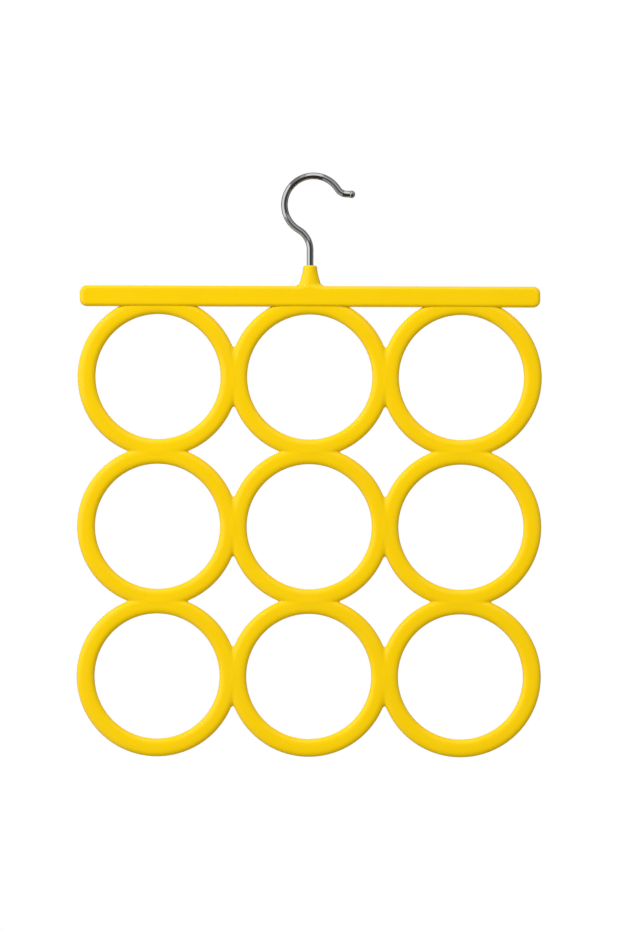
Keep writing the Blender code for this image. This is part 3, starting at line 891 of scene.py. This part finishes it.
path = hookPath()
pathMesh = bpy.data.meshes.new("hookPath")
pathMesh.from_pydata([point for point, _ in path], [(i, i + 1) for i in range(len(path) - 1)], [])
pathMesh.attributes.new("swell", "FLOAT", "POINT").data.foreach_set("value", [swell for _, swell in path])
hookWire = grow("hookWire", bentWireTree(), {
    "Wire Diameter": hook["wireDiameter"], "Steps Round": hook["stepsRound"], "Surface": chrome}, pathMesh)
finishSkin(hookWire)
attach(hookWire, "hook")
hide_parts("hook")
print("hook:", len(hookWire.data.polygons), "faces,", looseEdges(hookWire.data), "open edges")


# Camera
shot = {
    "lens": 135.0, "sensor": 36.0, "fieldHeight": 0.5586, "aim": (0.00065, 0, -0.17166), "roll": 0.19,
    "clipEnd": 50.0,
}
camera = putInScene("productCamera", bpy.data.cameras.new("productCamera"))
camera.data.lens, camera.data.sensor_width = shot["lens"], shot["sensor"]
camera.location = Vector(shot["aim"]) - Vector((0, shot["fieldHeight"] * shot["lens"] / shot["sensor"], 0))
camera.rotation_euler = (math.radians(90), math.radians(-shot["roll"]), 0)
camera.data.clip_end = shot["clipEnd"]
bpy.context.scene.camera = camera


# What gloss and metal mirror: grey cards on a shell round the hanger, and dark flags all round behind it,
# which give every edge its darker line. Turn runs from +X towards +Z as the camera sees it, tilt is the
# angle from the camera's direction, and level is how bright the card is. What no card covers is white.
studio = {
    "floorHeight": -1.75, "floorReach": 5.5, "shellRadius": 1.5, "shellCentre": (0, 0, -0.03),
    "cards": {
        "cameraSide": (0, 360, 0, 16, 0.05),
        "rightDark": (-30, 28, 16, 64, 0.08), "rightGrey": (-30, 28, 64, 100, 0.24),
        "belowDark": (-112, -30, 16, 100, 0.035),
        "lowerLeftDark": (-162, -112, 16, 34, 0.16), "lowerLeftGrey": (-162, -112, 34, 84, 0.32),
        "upperRightLight": (28, 74, 16, 44, 0.60), "upperRightGrey": (28, 74, 44, 100, 0.34),
        "crownGrey": (102, 113, 16, 100, 0.50), "upperLeftGrey": (113, 135, 16, 100, 0.30),
        "rearFlags": (0, 360, 102, 166, 0.10),
    },
    "floorGrey": 0.5, "floorGlow": 0.78, "ambient": 0.59, "lampTarget": (0, 0, -0.17),
    "lamps": {  # place, width and watts
        "keyLight": ((-2.02, -2.64, 2.23), 1.9, 132.0),
        "backFill": ((0.9, 2.2, 0.8), 1.6, 24.0),
    },
}


# 1 for rays from the camera, and for those that show the background in metal and plastic.
def backgroundRay(tree):
    path = addNode(tree, "ShaderNodeLightPath")
    seen = Reading(tree, path.outputs["Is Camera Ray"]) + Reading(tree, path.outputs["Is Glossy Ray"])
    return calc(tree, "MINIMUM", seen + Reading(tree, path.outputs["Is Transmission Ray"]), 1.0)


def flatPiece(name, corners, faces, material):
    mesh = bpy.data.meshes.new(name)
    mesh.from_pydata([Vector(corner) for corner in corners], [], faces)
    mesh.materials.append(material)
    piece = putInScene(name, mesh)
    return piece


# A matt grey that also shines by itself.
def glowingGrey(name, grey, roughness, glow):
    material, tree, shader = newMaterial(name)
    shader.inputs["Base Color"].default_value = (grey, grey, grey, 1)
    shader.inputs["Roughness"].default_value = roughness
    shader.inputs["Specular IOR Level"].default_value = 0.0
    shader.inputs["Emission Color"].default_value = (glow, glow, glow, 1)
    shader.inputs["Emission Strength"].default_value = 1.0
    return material, tree, shader


def paleFloor():
    material, tree, shader = glowingGrey("paleFloor", studio["floorGrey"], 0.9, 1)
    feed(tree, shader.inputs["Emission Strength"], backgroundRay(tree) * studio["floorGlow"])
    return material


def shellCard(name, turnFrom, turnTo, tiltFrom, tiltTo, level):
    steps, verts, faces = 24, [], []
    for i in range(steps + 1):
        turn = math.radians(turnFrom + (turnTo - turnFrom) * i / steps)
        for j in range(steps + 1):
            tilt = math.radians(tiltFrom + (tiltTo - tiltFrom) * j / steps)
            side = math.sin(tilt)
            way = Vector((math.cos(turn) * side, -math.cos(tilt), math.sin(turn) * side))
            verts.append(Vector(studio["shellCentre"]) + way * studio["shellRadius"])
    for i in range(steps):
        for j in range(steps):
            first = i * (steps + 1) + j
            faces.append((first, first + 1, first + steps + 2, first + steps + 1))
    card = flatPiece(name, verts, faces, glowingGrey(name, 0, 1.0, level)[0])
    card.visible_camera = card.visible_diffuse = card.visible_shadow = False
    card.visible_transmission = card.visible_volume_scatter = False


reach, level = studio["floorReach"], studio["floorHeight"]
floorCorners = [(-reach, -reach, level), (reach, -reach, level), (reach, reach, level), (-reach, reach, level)]
flatPiece("floor", floorCorners, [(0, 1, 2, 3)], paleFloor())
for name, card in studio["cards"].items():
    shellCard(name, *card)

world = bpy.data.worlds.new("studio")
bpy.context.scene.world = world
world.use_nodes = True
worldTree = world.node_tree
worldShader = worldTree.nodes["Background"]
seen = backgroundRay(worldTree)
ambient = studio["ambient"]
feed(worldTree, worldShader.inputs["Strength"], seen * (1.0 - ambient) + ambient)
worldShader.inputs["Color"].default_value = (1, 1, 1, 1)


def softbox(name, place, width, power):
    light = bpy.data.lights.new(name, "AREA")
    light.shape, light.size, light.size_y = "RECTANGLE", width, width
    light.energy = power
    lamp = putInScene(name, light)
    lamp.location = place
    lamp.rotation_euler = (Vector(studio["lampTarget"]) - Vector(place)).to_track_quat("-Z", "Y").to_euler()
    lamp.visible_glossy = False  # metal and gloss show the white surroundings and the cards instead


for name, (place, width, power) in studio["lamps"].items():
    softbox(name, place, width, power)

view = bpy.context.scene.view_settings
view.view_transform = "Standard"
print("camera and light set")
